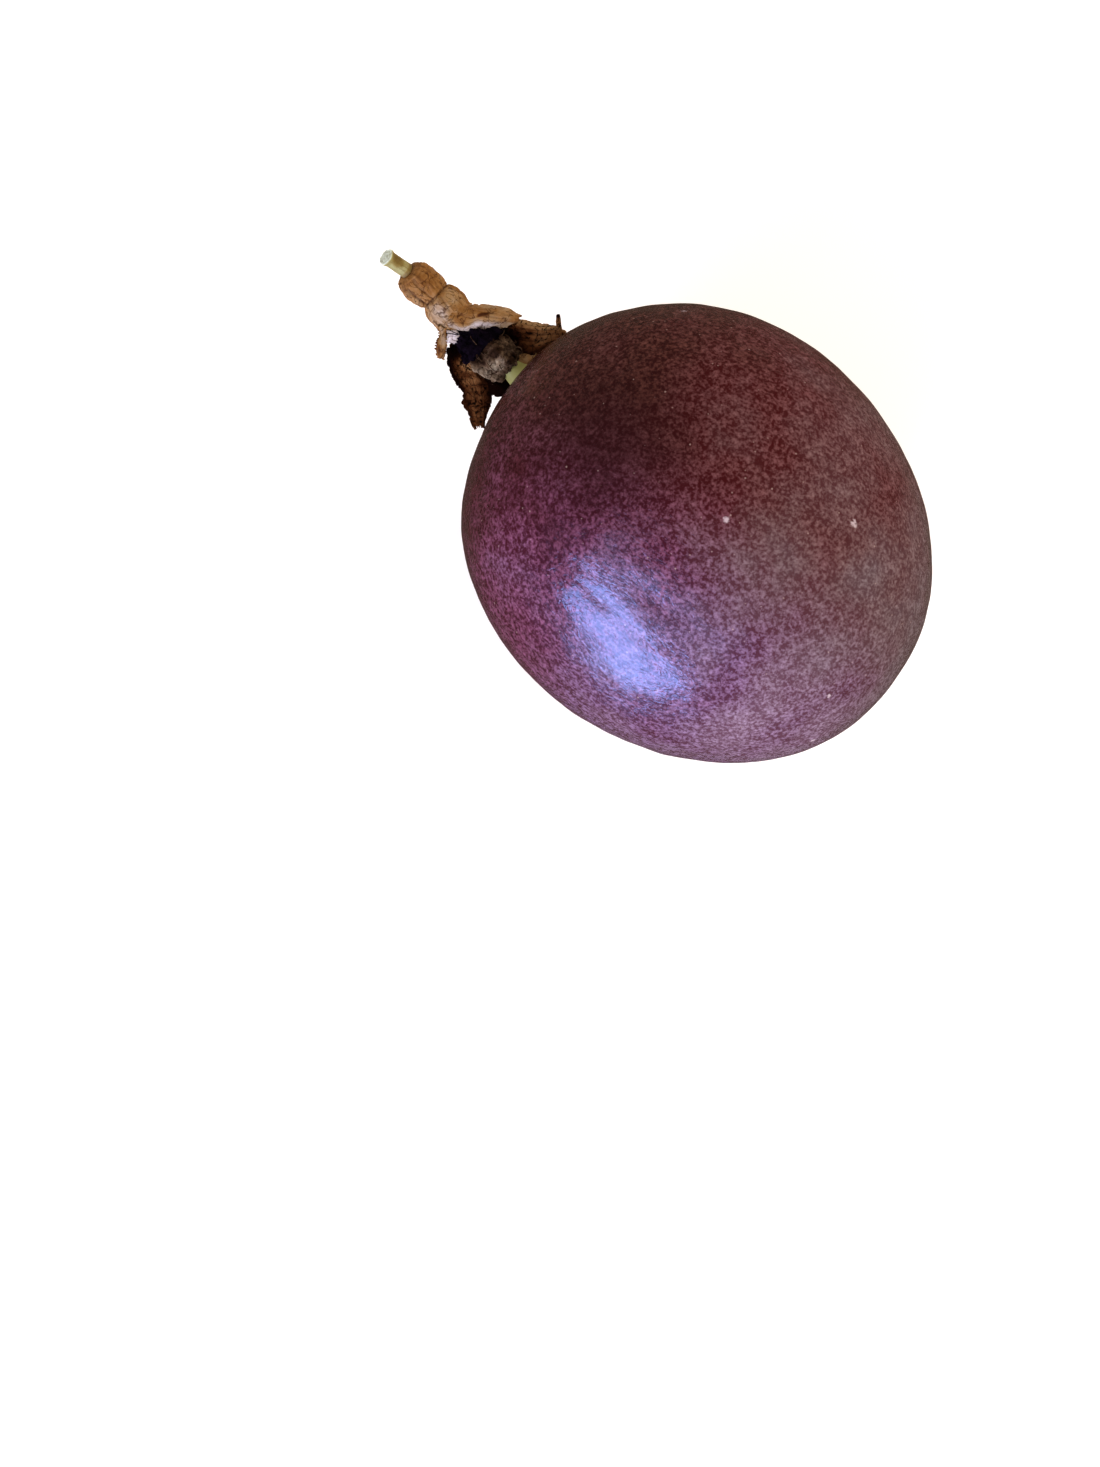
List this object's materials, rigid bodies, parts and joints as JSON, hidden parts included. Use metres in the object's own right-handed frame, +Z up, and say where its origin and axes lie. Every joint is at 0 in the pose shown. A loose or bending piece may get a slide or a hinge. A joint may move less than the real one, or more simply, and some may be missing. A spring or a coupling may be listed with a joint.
{
  "type": "passion fruit",
  "caption": "Whole purple passion fruit, picked and lying on its side, with its cut stalk and the dried flower cup and sepals still on.",
  "frame": {"origin": "on the surface the fruit lies on, under the middle of its outer box, stalk included", "axes": "+X from the stalk towards the blossom end, +Z up"},
  "size_m": [0.0878, 0.0572, 0.0566],
  "materials": {
    "fruit_skin": "satin, leathery, with fine pale dots and a thin waxy bloom",
    "green_stem": "matt, faintly ribbed",
    "dry_straw": "matt, papery, with fine veins",
    "dry_brown": "matt, wrinkled, with dark veins",
    "dry_dark": "dull with small glints",
    "dry_grey": "matt, crumpled"
  },
  "bodies": {
    "root": {"fruit": "fruit_skin", "gynophore": "green_stem", "stalk": "green_stem", "flower_cup": "dry_straw", "sepal_upper": "dry_straw", "sepal_strip": "dry_straw", "sepal_awned": "dry_brown", "sepal_under": "dry_brown", "sepal_lower": "dry_brown", "petal_lobe": "dry_brown", "corona": "dry_dark", "stamen_tuft": "dry_grey", "stamen_strand": "dry_straw"}
  },
  "joints": []
}
